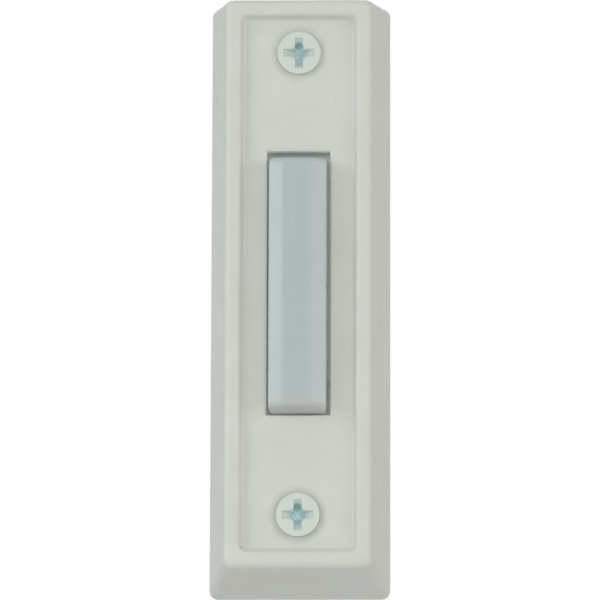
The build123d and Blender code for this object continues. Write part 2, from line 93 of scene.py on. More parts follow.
Rgba = tuple[float, float, float, float]


def linear(code: str) -> Rgba:
    """Turn an sRGB hex colour into linear light.

    Args:
        code: Colour such as "#cdd1cb".

    Returns:
        Linear red, green and blue, with an alpha of 1.
    """
    parts = [int(code[i:i + 2], 16) / 255 for i in (1, 3, 5)]
    light = [part / 12.92 if part <= 0.04045 else ((part + 0.055) / 1.055) ** 2.4 for part in parts]
    return (*light, 1.0)


def add_node(
    tree: bpy.types.NodeTree, kind: str, inputs: dict[str | int, object] | None = None, **settings: object
) -> bpy.types.Node:
    """Add a node, set it up and link what feeds it.

    Args:
        tree: Node tree that gets the node.
        kind: Blender's type name of the node.
        inputs: Input name or index, with the value that it is set to or the socket that feeds it.
        settings: Attributes of the node.

    Returns:
        The new node.
    """
    node = tree.nodes.new(kind)
    for name, value in settings.items():
        setattr(node, name, value)
    for name, value in (inputs or {}).items():
        if isinstance(value, bpy.types.NodeSocket):
            tree.links.new(value, node.inputs[name])
        else:
            node.inputs[name].default_value = value
    return node


def seen_rays(tree: bpy.types.NodeTree) -> bpy.types.NodeSocket:
    """Tell the rays that show the background from those that light the object.

    Args:
        tree: Node tree of the background's material or world.

    Returns:
        Socket that is 1 for what the camera sees, also in a mirror or through clear plastic.
    """
    rays = add_node(tree, "ShaderNodeLightPath").outputs
    seen = add_node(tree, "ShaderNodeMath", {
        0: rays["Is Camera Ray"], 1: rays["Is Glossy Ray"],
    }, operation="MAXIMUM")
    seen = add_node(tree, "ShaderNodeMath", {
        0: seen.outputs["Value"], 1: rays["Is Transmission Ray"],
    }, operation="MAXIMUM")
    return seen.outputs["Value"]


class Grain(Enum):
    """How a surface's fine grain is drawn out along the object's axes."""

    EVEN = (1.0, 1.0, 1.0)
    ALONG_Z = (1.0, 1.0, 0.06)


@dataclass(frozen=True)
class Mark:
    """A part of a surface that has a colour of its own, with its place and sizes in millimetres."""

    colour: str

    def share(self, tree: bpy.types.NodeTree, place: bpy.types.NodeSocket) -> bpy.types.NodeSocket:
        """Where the mark lies.

        Args:
            tree: Node tree of the material.
            place: Object coordinates.

        Returns:
            Socket that is 1 within the mark and 0 beyond its edge.
        """
        raise NotImplementedError


@dataclass(frozen=True)
class Speck(Mark):
    """A round speck or stain with a soft edge, which may be ragged."""

    point: tuple[float, float, float]
    radius: float
    core: float = 0.4
    ragged: float = 0.0
    blot_size: float = 0.5

    def share(self, tree: bpy.types.NodeTree, place: bpy.types.NodeSocket) -> bpy.types.NodeSocket:
        """Where the speck lies.

        Args:
            tree: Node tree of the material.
            place: Object coordinates.

        Returns:
            Socket that falls from 1 in the middle to 0 at the edge.
        """
        away = add_node(tree, "ShaderNodeVectorMath", {
            0: place, 1: [side * MM for side in self.point],
        }, operation="DISTANCE").outputs["Value"]
        if self.ragged:
            blots = add_node(tree, "ShaderNodeTexNoise", {
                "Vector": place, "Scale": 1 / (self.blot_size * MM),
            })
            away = add_node(tree, "ShaderNodeMath", {
                0: blots.outputs["Fac"], 1: self.ragged * MM, 2: away,
            }, operation="MULTIPLY_ADD").outputs["Value"]
        edge = add_node(tree, "ShaderNodeMapRange", {
            "Value": away, "From Min": self.radius * self.core * MM, "From Max": self.radius * MM,
            "To Min": 1.0, "To Max": 0.0,
        })
        return edge.outputs["Result"]


@dataclass(frozen=True)
class Slot(Mark):
    """Box of faces in or by the gap around the bar, painted pale: painted light against the gap's shade."""

    middle: tuple[float, float, float]
    reach: tuple[float, float, float]

    def share(self, tree: bpy.types.NodeTree, place: bpy.types.NodeSocket) -> bpy.types.NodeSocket:
        """Where the gap's faces lie.

        Args:
            tree: Node tree of the material.
            place: Object coordinates.

        Returns:
            Socket that is 1 within the reach from the middle, along each axis, and 0 beyond it.
        """
        off = add_node(tree, "ShaderNodeVectorMath", {
            0: place, 1: [side * MM for side in self.middle],
        }, operation="SUBTRACT")
        away = add_node(tree, "ShaderNodeVectorMath", {0: off.outputs["Vector"]}, operation="ABSOLUTE")
        part = add_node(tree, "ShaderNodeVectorMath", {
            0: away.outputs["Vector"], 1: [side * MM for side in self.reach],
        }, operation="DIVIDE")
        axes = add_node(tree, "ShaderNodeSeparateXYZ", {"Vector": part.outputs["Vector"]}).outputs
        most = add_node(tree, "ShaderNodeMath", {0: axes["X"], 1: axes["Y"]}, operation="MAXIMUM")
        most = add_node(tree, "ShaderNodeMath", {
            0: most.outputs["Value"], 1: axes["Z"],
        }, operation="MAXIMUM")
        inside = add_node(tree, "ShaderNodeMath", {
            0: most.outputs["Value"], 1: 1.0,
        }, operation="LESS_THAN")
        return inside.outputs["Value"]


@dataclass(frozen=True)
class Fade(Mark):
    """A tint that comes in along the height."""

    start: float
    end: float

    def share(self, tree: bpy.types.NodeTree, place: bpy.types.NodeSocket) -> bpy.types.NodeSocket:
        """Where the tint lies.

        Args:
            tree: Node tree of the material.
            place: Object coordinates.

        Returns:
            Socket that rises from 0 at the start to 1 at the end and beyond.
        """
        height = add_node(tree, "ShaderNodeSeparateXYZ", {"Vector": place}).outputs["Z"]
        part = add_node(tree, "ShaderNodeMapRange", {
            "Value": height, "From Min": self.start * MM, "From Max": self.end * MM,
        })
        return part.outputs["Result"]


@dataclass(frozen=True)
class Finish:
    """A real material and how its surface was made."""

    name: str
    colour: str
    patch_colour: str
    patch_size: float
    roughness: tuple[float, float]
    grain_size: float
    grain_depth: float
    grain: Grain = Grain.EVEN
    metallic: float = 0.0
    ior: float = 1.5
    marks: tuple[Mark, ...] = ()

    def material(self) -> bpy.types.Material:
        """Build the material.

        Returns:
            Material with cloudy colour, uneven gloss and a fine grain.
        """
        material = bpy.data.materials.new(self.name)
        material.use_nodes = True
        tree = material.node_tree
        tree.nodes.clear()
        place = add_node(tree, "ShaderNodeTexCoord").outputs["Object"]
        shader = add_node(tree, "ShaderNodeBsdfPrincipled", {
            "Base Color": self.tint(tree, place),
            "Roughness": self.gloss(tree, place),
            "Normal": self.relief(tree, place),
            "Metallic": self.metallic,
            "IOR": self.ior,
        })
        self.finish_shader(tree, place, shader)
        add_node(tree, "ShaderNodeOutputMaterial", {"Surface": shader.outputs["BSDF"]})
        return material

    def tint(self, tree: bpy.types.NodeTree, place: bpy.types.NodeSocket) -> bpy.types.NodeSocket:
        """Colour that drifts a little between two shades, with the marks on it.

        Args:
            tree: Node tree of the material.
            place: Object coordinates.

        Returns:
            Colour socket.
        """
        cloud = add_node(tree, "ShaderNodeTexNoise", {
            "Vector": place, "Scale": 1 / self.patch_size, "Detail": 3.0, "Roughness": 0.55,
        })
        least, most = CLOUD_RANGE
        spread = add_node(tree, "ShaderNodeMapRange", {
            "Value": cloud.outputs["Fac"], "From Min": least, "From Max": most,
        })
        colour = self.mix(tree, spread.outputs["Result"], linear(self.colour), linear(self.patch_colour))
        for mark in self.marks:
            colour = self.mix(tree, mark.share(tree, place), colour, linear(mark.colour))
        return colour

    def gloss(self, tree: bpy.types.NodeTree, place: bpy.types.NodeSocket) -> bpy.types.NodeSocket:
        """Roughness that drifts between its two ends.

        Args:
            tree: Node tree of the material.
            place: Object coordinates.

        Returns:
            Roughness socket.
        """
        smear = add_node(tree, "ShaderNodeTexNoise", {
            "Vector": place, "Scale": SMEAR_FINENESS / self.patch_size, "Detail": 4.0,
        })
        least, most = SMEAR_RANGE
        low, high = self.roughness
        spread = add_node(tree, "ShaderNodeMapRange", {
            "Value": smear.outputs["Fac"], "From Min": least, "From Max": most,
            "To Min": low, "To Max": high,
        })
        return spread.outputs["Result"]

    def relief(self, tree: bpy.types.NodeTree, place: bpy.types.NodeSocket) -> bpy.types.NodeSocket:
        """Fine grain of the surface.

        Args:
            tree: Node tree of the material.
            place: Object coordinates.

        Returns:
            Normal socket.
        """
        drawn = add_node(tree, "ShaderNodeMapping", {"Vector": place, "Scale": self.grain.value})
        grit = add_node(tree, "ShaderNodeTexNoise", {
            "Vector": drawn.outputs["Vector"], "Scale": 1 / self.grain_size, "Detail": 2.0,
        })
        bump = add_node(tree, "ShaderNodeBump", {
            "Height": grit.outputs["Fac"], "Distance": self.grain_depth, "Strength": 1.0,
        })
        return bump.outputs["Normal"]

    def finish_shader(
        self, tree: bpy.types.NodeTree, place: bpy.types.NodeSocket, shader: bpy.types.Node
    ) -> None:
        """Add what only this finish has; a plain one has nothing more."""

    @staticmethod
    def mix(
        tree: bpy.types.NodeTree, share: bpy.types.NodeSocket,
        first: Rgba | bpy.types.NodeSocket, second: Rgba | bpy.types.NodeSocket,
    ) -> bpy.types.NodeSocket:
        """Mix two colours.

        Args:
            tree: Node tree of the material.
            share: How much of the second colour shows.
            first: Colour or colour socket.
            second: Colour or colour socket.

        Returns:
            Colour socket.
        """
        node = add_node(tree, "ShaderNodeMix", {0: share, 6: first, 7: second}, data_type="RGBA")
        return node.outputs[2]


@dataclass(frozen=True)
class MilkyFinish(Finish):
    """Milky plastic that lets light in, so that its edges glow softly."""

    depth: float = 1.0 * MM
    weight: float = 0.5
    soft_edge: float = 0.0
    edge_samples: int = 8

    def finish_shader(
        self, tree: bpy.types.NodeTree, place: bpy.types.NodeSocket, shader: bpy.types.Node
    ) -> None:
        """Let light spread below the surface, and soften the look of the edges.

        Args:
            tree: Node tree of the material.
            place: Object coordinates; not used.
            shader: Shader of the material.
        """
        if self.soft_edge:
            bump = shader.inputs["Normal"].links[0].from_node
            edge = add_node(tree, "ShaderNodeBevel", {"Radius": self.soft_edge}, samples=self.edge_samples)
            tree.links.new(edge.outputs["Normal"], bump.inputs["Normal"])
        shader.inputs["Subsurface Weight"].default_value = self.weight
        shader.inputs["Subsurface Radius"].default_value = (1.0, 1.0, 1.0)
        shader.inputs["Subsurface Scale"].default_value = self.depth


@dataclass(frozen=True)
class PaintedHeadFinish(Finish):
    """Zinc plated steel, with paint brushed over the screw heads and a little way into their recesses."""

    paint: str = "#cad2cb"
    # Paler paint deeper in the recesses is painted light against their shade
    recess_painted_light: str = "#d6dfd8"
    painted_light_depth: tuple[float, float] = (0.1 * MM, 0.5 * MM)
    head_front: float = 0.0
    head_depth: float = 0.35 * MM
    recess_radius: float = 2.2 * MM
    screw_height: float = 0.0
    paint_run: tuple[float, float] = (0.3 * MM, 0.75 * MM)
    paint_wander: float = 0.4 * MM
    paint_blot: float = 0.6 * MM
    paint_sweep: float = 0.5

    def finish_shader(
        self, tree: bpy.types.NodeTree, place: bpy.types.NodeSocket, shader: bpy.types.Node
    ) -> None:
        """Lay the paint over the plating where the brush reached, paler deeper in the recess as painted
        light.

        Args:
            tree: Node tree of the material.
            place: Object coordinates.
            shader: Shader of the material.
        """
        painted = self.painted(tree, place)
        shallow, deep = self.painted_light_depth
        painted_light_share = add_node(tree, "ShaderNodeMapRange", {
            "Value": add_node(tree, "ShaderNodeSeparateXYZ", {"Vector": place}).outputs["Y"],
            "From Min": self.head_front + shallow, "From Max": self.head_front + deep,
        }).outputs["Result"]
        paint = self.mix(tree, painted_light_share, linear(self.paint), linear(self.recess_painted_light))
        metal = shader.inputs["Base Color"].links[0].from_socket
        tree.links.new(self.mix(tree, painted, metal, paint), shader.inputs["Base Color"])
        bare = add_node(tree, "ShaderNodeMapRange", {
            "Value": painted, "To Min": self.metallic, "To Max": 0.0,
        })
        tree.links.new(bare.outputs["Result"], shader.inputs["Metallic"])

    def painted(self, tree: bpy.types.NodeTree, place: bpy.types.NodeSocket) -> bpy.types.NodeSocket:
        """Where the head is painted.

        Args:
            tree: Node tree of the material.
            place: Object coordinates.

        Returns:
            Socket that is 1 on paint and 0 on bare plating.
        """
        axes = add_node(tree, "ShaderNodeSeparateXYZ", {"Vector": place}).outputs
        height = add_node(tree, "ShaderNodeMath", {0: axes["Z"]}, operation="ABSOLUTE").outputs["Value"]
        up = add_node(tree, "ShaderNodeMath", {0: height, 1: self.screw_height}, operation="SUBTRACT")
        across = add_node(tree, "ShaderNodeCombineXYZ", {"X": axes["X"], "Z": up.outputs["Value"]})
        radius = add_node(tree, "ShaderNodeVectorMath", {0: across.outputs["Vector"]}, operation="LENGTH")
        blots = add_node(tree, "ShaderNodeTexNoise", {
            "Vector": place, "Scale": 1 / self.paint_blot, "Detail": 2.0,
        })
        wander = add_node(tree, "ShaderNodeMath", {
            0: blots.outputs["Fac"], 1: self.paint_wander, 2: -self.paint_wander / 2,
        }, operation="MULTIPLY_ADD")
        depth = add_node(tree, "ShaderNodeMath", {0: axes["Y"], 1: wander.outputs["Value"]})
        aside = add_node(tree, "ShaderNodeMath", {0: axes["X"]}, operation="ABSOLUTE")
        depth = add_node(tree, "ShaderNodeMath", {
            0: aside.outputs["Value"], 1: -self.paint_sweep, 2: depth.outputs["Value"],
        }, operation="MULTIPLY_ADD")
        thick, thin = self.paint_run
        face = add_node(tree, "ShaderNodeMapRange", {
            "Value": depth.outputs["Value"], "From Min": self.head_front + thick,
            "From Max": self.head_front + thin, "To Min": 1.0, "To Max": 0.0,
        })
        rim = add_node(tree, "ShaderNodeMath", {
            0: radius.outputs["Value"], 1: self.recess_radius,
        }, operation="GREATER_THAN")
        front = add_node(tree, "ShaderNodeMath", {
            0: axes["Y"], 1: self.head_front + self.head_depth,
        }, operation="LESS_THAN")
        side = add_node(tree, "ShaderNodeMath", {
            0: rim.outputs["Value"], 1: front.outputs["Value"],
        }, operation="MULTIPLY")
        both = add_node(tree, "ShaderNodeMath", {
            0: face.outputs["Result"], 1: side.outputs["Value"],
        }, operation="MAXIMUM")
        return both.outputs["Value"]


@dataclass(frozen=True)
class ClearFinish(Finish):
    """Clear cast resin."""

    def finish_shader(
        self, tree: bpy.types.NodeTree, place: bpy.types.NodeSocket, shader: bpy.types.Node
    ) -> None:
        """Let light straight through."""
        shader.inputs["Transmission Weight"].default_value = 1.0


@dataclass(frozen=True)
class PaperFinish(Finish):
    """Studio paper that looks pale all over, with the shadows still on it."""

    lift: float = 0.38

    def finish_shader(
        self, tree: bpy.types.NodeTree, place: bpy.types.NodeSocket, shader: bpy.types.Node
    ) -> None:
        """Lift the paper's own look, with no more light on the object."""
        lifted = add_node(tree, "ShaderNodeMath", {0: seen_rays(tree), 1: self.lift}, operation="MULTIPLY")
        tree.links.new(lifted.outputs["Value"], shader.inputs["Emission Strength"])


@dataclass(frozen=True)
class BandedFinish(Finish):
    """A body with painted rings around it, placed by their share of its length along Z."""

    low: float = 0.0
    high: float = 1.0
    bands: tuple[tuple[float, str], ...] = ()
    band_width: float = 0.08

    def tint(self, tree: bpy.types.NodeTree, place: bpy.types.NodeSocket) -> bpy.types.NodeSocket:
        """Rings of colour over the body's own.

        Args:
            tree: Node tree of the material.
            place: Object coordinates.

        Returns:
            Colour socket.
        """
        colour = super().tint(tree, place)
        axes = add_node(tree, "ShaderNodeSeparateXYZ", {"Vector": place}).outputs
        along = add_node(tree, "ShaderNodeMapRange", {
            "Value": axes["Z"], "From Min": self.low, "From Max": self.high,
        }).outputs["Result"]
        for middle, ring in self.bands:
            inside = add_node(tree, "ShaderNodeMath", {
                0: along, 1: middle, 2: self.band_width / 2,
            }, operation="COMPARE")
            colour = self.mix(tree, inside.outputs["Value"], colour, linear(ring))
        return colour


def dress(node: str, material: bpy.types.Material) -> None:
    """Give a solid of the frame its finish.

    Args:
        node: Name of the solid's node.
        material: Finish that takes the place of the plain one.
    """
    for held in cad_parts[node].material_slots:
        held.material = material
    LOG.info("%s dressed in %s", node, material.name)


def solid_copy(node: str) -> bmesh.types.BMesh:
    """Copy a solid's mesh, joined up and with flat faces whole again.

    Args:
        node: Name of the solid's node.

    Returns:
        Closed mesh.
    """
    mesh = bmesh.new()
    mesh.from_mesh(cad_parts[node].data)
    bmesh.ops.remove_doubles(mesh, verts=mesh.verts, dist=MERGE_DISTANCE)
    return mesh


def add_piece(
    name: str, mesh: bmesh.types.BMesh, material: bpy.types.Material, node: str
) -> bpy.types.Object:
    """Turn a mesh into a piece that stands for a solid.

    Args:
        name: Name of the piece.
        mesh: Its mesh, in place, which is freed.
        material: Its finish.
        node: Node that the piece stands for.

    Returns:
        The new object.
    """
    data = bpy.data.meshes.new(name)
    bmesh.ops.recalc_face_normals(mesh, faces=mesh.faces)
    mesh.to_mesh(data)
    mesh.free()
    if "custom_normal" in data.attributes:
        data.attributes.remove(data.attributes["custom_normal"])
    data.materials.clear()
    data.materials.append(material)
    data.polygons.foreach_set("use_smooth", [True] * len(data.polygons))
    data.set_sharp_from_angle(angle=SHARP_ANGLE)
    piece = bpy.data.objects.new(name, data)
    bpy.context.scene.collection.objects.link(piece)
    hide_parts(node)
    LOG.info("%s built with %d faces", name, len(data.polygons))
    return piece


@dataclass
class Cover:
    """The one-piece moulded cover."""

    finish: Finish = MilkyFinish(
        # ABS, injection moulded against a spark-eroded tool: soft satin light and a faint fine grit
        "satin moulded ABS", "#ced2cc", "#cbcec7",
        patch_size=7.0 * MM, roughness=(0.42, 0.52), grain_size=0.22 * MM, grain_depth=0.004 * MM,
        ior=1.54,
        marks=(
            # Painted light: the window's walls, and the edge of its left side and of its top, kept pale
            # against their shade
            Slot("#f4f6f0", (0.0, 0.0, 0.0), (4.4, 12.67, 18.0)),
            Slot("#f4f6f0", (-4.2, 0.0, -0.8), (0.5, 12.75, 15.8)),
            Slot("#f4f6f0", (0.0, 0.0, 17.8), (3.5, 12.76, 0.4)),
            # Painted shade with some grime in a ragged ring round the screws, dirt in the recess's lower
            # corner, and a pit in the panel
            Speck("#bfc3bc", (0.0, -12.8, 30.8), 4.2, core=0.74, ragged=0.5),
            Speck("#b7bbb4", (0.0, -12.8, -30.8), 4.2, core=0.74, ragged=0.5),
            Speck("#7b7d77", (-7.37, -13.4, -35.16), 0.22),
            Speck("#acafa8", (4.84, -12.8, 24.66), 0.13),
        ),
        depth=0.5 * MM, weight=0.35,
    )

    def build(self) -> None:
        """Dress the cover."""
        dress("cover", self.finish.material())


@dataclass
class PushBar:
    """The lit bar and the two springs behind it."""

    wire_diameter: float = 0.4 * MM
    closed_turns: int = 1
    open_turns: int = 4
    wire_sides: int = 12
    steps: int = 28
    bar_finish: Finish = MilkyFinish(
        # Milky polystyrene: blue-grey where light goes in, smooth enough for a faint sheen
        "milky polystyrene", "#b2bdbf", "#afbabb",
        patch_size=30.0 * MM, roughness=(0.28, 0.34), grain_size=0.5 * MM, grain_depth=0.002 * MM,
        ior=1.59,
        marks=(
            # Lower end, a little greyer: painted shade where the end faces down
            Fade("#babfbb", -14.6, -16.9),
            # Painted light against the gap's shade, on sides within the window and the flange: all round,
            # right side, lower right corner, top
            Slot("#fafcf8", (0.0, 0.0, 0.0), (12.0, 12.6, 30.0)),
            Slot("#e9ece6", (5.0, 0.0, 0.0), (1.3, 12.6, 16.25)),
            Slot("#cfd4cd", (5.0, 0.0, -17.0), (1.3, 12.6, 4.4)),
            Slot("#bfc5c1", (0.0, 0.0, 24.0), (12.0, 12.6, 7.75)),
            # Specks of dust
            Speck("#d2d8d6", (-3.27, -15.02, 12.92), 0.12),
            Speck("#d6dcdb", (-0.68, -15.6, 7.85), 0.13),
            Speck("#c6d0d0", (-0.47, -15.6, 5.2), 0.11),
        ),
        depth=1.0 * MM, weight=0.9, soft_edge=0.7 * MM,
    )
    wire_finish: Finish = Finish(
        # Music wire, drawn: grey steel with fine drawing lines and a trace of oil
        "drawn spring wire", "#a3a3a0", "#8d8c88",
        patch_size=1.5 * MM, roughness=(0.24, 0.38), grain_size=0.08 * MM, grain_depth=0.002 * MM,
        metallic=1.0,
    )

    def build(self) -> None:
        """Dress the bar and wind its springs."""
        dress("push_bar", self.bar_finish.material())
        wire = self.wire_finish.material()
        for side in ("upper", "lower"):
            node = f"return_spring_{side}"
            low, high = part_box(node)
            piece = add_piece(f"{side}_coil_spring", self.coil(low, high), wire, node)
            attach(piece, HOUSING)
            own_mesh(piece)

    def coil(self, low: Vector, high: Vector) -> bmesh.types.BMesh:
        """Wind a coil with closed, ground ends.

        Args:
            low: Lowest corner of the room for the spring.
            high: Highest corner.

        Returns:
            Closed mesh.
        """
        middle = (low + high) / 2
        radius = (high.x - low.x - self.wire_diameter) / 2
        closed_rise = self.wire_diameter
        length = high.y - low.y
        open_rise = (length - 2 * self.closed_turns * closed_rise) / self.open_turns
        mesh = bmesh.new()
        ring = bmesh.ops.create_circle(
            mesh, segments=self.wire_sides, radius=self.wire_diameter / 2,
            matrix=Matrix.Translation((radius, high.y, middle.z)),
        )["verts"]
        bmesh.ops.contextual_create(mesh, geom=ring)
        section = list(mesh.verts) + list(mesh.edges) + list(mesh.faces)
        for turns, rise in (
            (self.closed_turns, closed_rise),
            (self.open_turns, open_rise),
            (self.closed_turns, closed_rise),
        ):
            spun = bmesh.ops.spin(
                mesh, geom=section, cent=middle, axis=(0, 1, 0), dvec=(0, -rise / self.steps, 0),
                angle=2 * math.pi * turns, steps=self.steps * turns, use_merge=False,
            )
            section = spun["geom_last"]
        for y, outward in ((low.y, -1), (high.y, 1)):
            geom = list(mesh.verts) + list(mesh.edges) + list(mesh.faces)
            cut = bmesh.ops.bisect_plane(
                mesh, geom=geom, dist=MERGE_DISTANCE, plane_co=(0, y, 0), plane_no=(0, outward, 0),
                clear_outer=True,
            )
            edges = [edge for edge in cut["geom_cut"] if isinstance(edge, bmesh.types.BMEdge)]
            bmesh.ops.holes_fill(mesh, edges=edges)
        return mesh


@dataclass
class WallScrews:
    """The two countersunk screws, with the threads that the wall holds."""

    neck_height: float = 10.5 * MM
    shank_radius: float = 1.25 * MM
    core_radius: float = 1.02 * MM
    thread_radius: float = 1.5 * MM
    thread_pitch: float = 1.15 * MM
    thread_start: float = 0.5 * MM
    ridge_width: float = 0.5 * MM
    crest_width: float = 0.07 * MM
    tip_length: float = 2.8 * MM
    recess_floor: float = 1.8 * MM
    recess_point: float = 0.3 * MM
    root_share: float = 0.94
    # Painted shade in the upper wing of each recess: place from the middle of the head's face and radius,
    # in millimetres as marks have them
    wing_shade_place: tuple[float, float, float] = (-0.15, 0.9, 1.15)
    wing_shade_radius: float = 1.0
    steps: int = 32

    def build(self) -> None:
        """Make both screws from their solid heads and dress them."""
        low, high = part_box("mounting_screws")
        head_radius = (high.x - low.x) / 2
        screw_height = high.z - head_radius
        aside, deep, up = self.wing_shade_place
        material = PaintedHeadFinish(
            # Zinc plated steel, blue passivated: cool green-grey in the recess, with the head painted over
            "painted zinc plated steel", "#e4f0f3", "#c4dadc",
            patch_size=0.8 * MM, roughness=(0.4, 0.55), grain_size=0.12 * MM, grain_depth=0.004 * MM,
            metallic=0.3, head_front=low.y, screw_height=screw_height,
            marks=tuple(
                # Painted shade, a darker teal, in the upper wing of each recess
                Speck("#94b8b6", (aside, low.y / MM + deep, z / MM + up), self.wing_shade_radius)
                for z in (screw_height, -screw_height)
            ),
        ).material()
        for name, side in (("upper_wall_screw", 1), ("lower_wall_screw", -1)):
            mesh = self.screw(side, side * screw_height, high.y)
            piece = add_piece(name, mesh, material, "mounting_screws")
            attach(piece, HOUSING)

    def screw(self, side: int, z: float, tip: float) -> bmesh.types.BMesh:
        """Keep one solid head and give it a shank, a threaded core and a gimlet point.

        Args:
            side: 1 for the upper screw and -1 for the lower one.
            z: Height of the screw's axis.
            tip: Where the point ends, into the wall.

        Returns:
            Mesh of the screw.
        """
        mesh = solid_copy("mounting_screws")
        for point, away in (((0, 0, 0), (0, 0, -side)), ((0, -self.neck_height, 0), (0, 1, 0))):
            geom = list(mesh.verts) + list(mesh.edges) + list(mesh.faces)
            cut = bmesh.ops.bisect_plane(
                mesh, geom=geom, dist=MERGE_DISTANCE, plane_co=point, plane_no=away, clear_outer=True
            )
        self.point_recess(mesh)
        ring = [edge for edge in cut["geom_cut"] if isinstance(edge, bmesh.types.BMEdge)]
        radius = self.shank_radius
        at = -self.neck_height
        taper = self.shank_radius - self.core_radius
        for wide, y in (
            (self.shank_radius, self.thread_start - taper), (self.core_radius, self.thread_start),
            (self.core_radius, tip - self.tip_length), (0.0, tip),
        ):
            made = bmesh.ops.extrude_edge_only(mesh, edges=ring)["geom"]
            verts = [item for item in made if isinstance(item, bmesh.types.BMVert)]
            fresh = set(verts)
            ring = [
                item for item in made if isinstance(item, bmesh.types.BMEdge) and set(item.verts) <= fresh
            ]
            about = Matrix.Translation((0, 0, -z))
            bmesh.ops.scale(mesh, vec=(wide / radius, 1, wide / radius), space=about, verts=verts)
            bmesh.ops.translate(mesh, vec=(0, y - at, 0), verts=verts)
            radius, at = wide, y
        bmesh.ops.pointmerge(mesh, verts=verts, merge_co=(0, tip, z))
        self.add_thread(mesh, z, tip)
        return mesh

    def point_recess(self, mesh: bmesh.types.BMesh) -> None:
        """Draw the recess's flat bottom out to a point, as the punch leaves it.

        Args:
            mesh: Mesh of the screw's head.
        """
        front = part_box("mounting_screws")[0].y
        deep = [
            face for face in mesh.faces
            if face.normal.y < -SQUARE_ON and front + self.recess_floor < face.calc_center_median().y
        ]
        bottom = bmesh.ops.dissolve_faces(mesh, faces=deep)["region"]
        middle = bmesh.ops.poke(mesh, faces=bottom)["verts"]
        bmesh.ops.translate(mesh, vec=(0, self.recess_point, 0), verts=middle)

    def add_thread(self, mesh: bmesh.types.BMesh, z: float, tip: float) -> None:
        """Wind the thread's ridge around the core, down to the point.

        Args:
            mesh: Mesh of the screw.
            z: Height of the screw's axis.
            tip: Where the point ends.
        """
        root = self.core_radius * self.root_share
        begin = self.thread_start + self.ridge_width / 2
        profile = [
            (root, -self.ridge_width / 2), (self.thread_radius, -self.crest_width / 2),
            (self.thread_radius, self.crest_width / 2), (root, self.ridge_width / 2),
        ]
        verts = [mesh.verts.new((radius, begin + along, z)) for radius, along in profile]
        face = mesh.faces.new(verts)
        section = verts + list(face.edges) + [face]
        turns = (tip - self.ridge_width - begin) / self.thread_pitch
        steps = round(self.steps * turns)
        before = set(mesh.verts) - set(verts)
        bmesh.ops.spin(
            mesh, geom=section, cent=(0, 0, z), axis=(0, 1, 0), angle=2 * math.pi * turns,
            dvec=(0, self.thread_pitch * turns / steps, 0), steps=steps, use_merge=False,
        )
        cone = tip - self.tip_length
        for vert in (vert for vert in mesh.verts if vert not in before and vert.co.y > cone):
            share = max((tip - vert.co.y) / self.tip_length, 0.0)
            vert.co.x *= share
            vert.co.z = z + (vert.co.z - z) * share


@dataclass
class Switch:
    """The base with the contacts and the terminals."""

    bend_step: float = 1.0 * MM
    bend_overrun: float = 4.4 * MM
    base_finish: Finish = Finish(
        # Glass-filled nylon, moulded: black, dull, with a fine fibrous grit
        "moulded black nylon", "#222323", "#2b2b2a",
        patch_size=5.0 * MM, roughness=(0.45, 0.6), grain_size=0.2 * MM, grain_depth=0.008 * MM,
        ior=1.53,
    )
    bronze_finish: Finish = Finish(
        # Phosphor bronze strip, rolled along its length: warm, with faint straight lines
        "rolled phosphor bronze", "#c98f5e", "#b57f52",
        patch_size=4.0 * MM, roughness=(0.22, 0.36), grain_size=0.06 * MM, grain_depth=0.001 * MM,
        grain=Grain.ALONG_Z, metallic=1.0,
    )
    brass_finish: Finish = Finish(
        # Brass strip, rolled and stamped: yellow, a little dulled by handling
        "stamped brass", "#cfae6a", "#b8965a",
        patch_size=4.0 * MM, roughness=(0.24, 0.4), grain_size=0.06 * MM, grain_depth=0.001 * MM,
        grain=Grain.ALONG_Z, metallic=1.0,
    )
    silver_finish: Finish = Finish(
        # Silver plate on a copper rivet: white, soft, slightly tarnished
        "silver plated contact", "#dcdad2", "#c4c0b2",
        patch_size=0.8 * MM, roughness=(0.2, 0.34), grain_size=0.1 * MM, grain_depth=0.001 * MM,
        metallic=1.0,
    )
    zinc_finish: Finish = Finish(
        # Zinc plated steel, clear passivated: bright grey with a bluish cast
        "zinc plated steel", "#b9c0c2", "#a3adb2",
        patch_size=1.6 * MM, roughness=(0.26, 0.42), grain_size=0.1 * MM, grain_depth=0.002 * MM,
        metallic=1.0,
    )

    def build(self) -> None:
        """Dress the base, the contacts and the terminals, and make the contact leaf cut in steps."""
        dress("switch_base", self.base_finish.material())
        brass = self.brass_finish.material()
        dress("fixed_contact", brass)
        dress("terminal_plate", brass)
        dress("contact_rivet", self.silver_finish.material())
        zinc = self.zinc_finish.material()
        dress("terminal_screws", zinc)
        dress("clamp_washers", zinc)
        self.build_leaf()

    def build_leaf(self) -> None:
        """Cut the leaf into short steps along its arm."""
        low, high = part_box("contact_leaf")
        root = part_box("terminal_plate")[0].z
        mesh = solid_copy("contact_leaf")
        steps = int((root - low.z) / self.bend_step)
        for step in range(steps):
            geom = list(mesh.verts) + list(mesh.edges) + list(mesh.faces)
            bmesh.ops.bisect_plane(
                mesh, geom=geom, dist=MERGE_DISTANCE, plane_co=(0, 0, root - step * self.bend_step),
                plane_no=(0, 0, 1),
            )
        bronze = self.bronze_finish.material()
        leaf = add_piece("bending_contact_leaf", mesh, bronze, "contact_leaf")
        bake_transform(leaf)


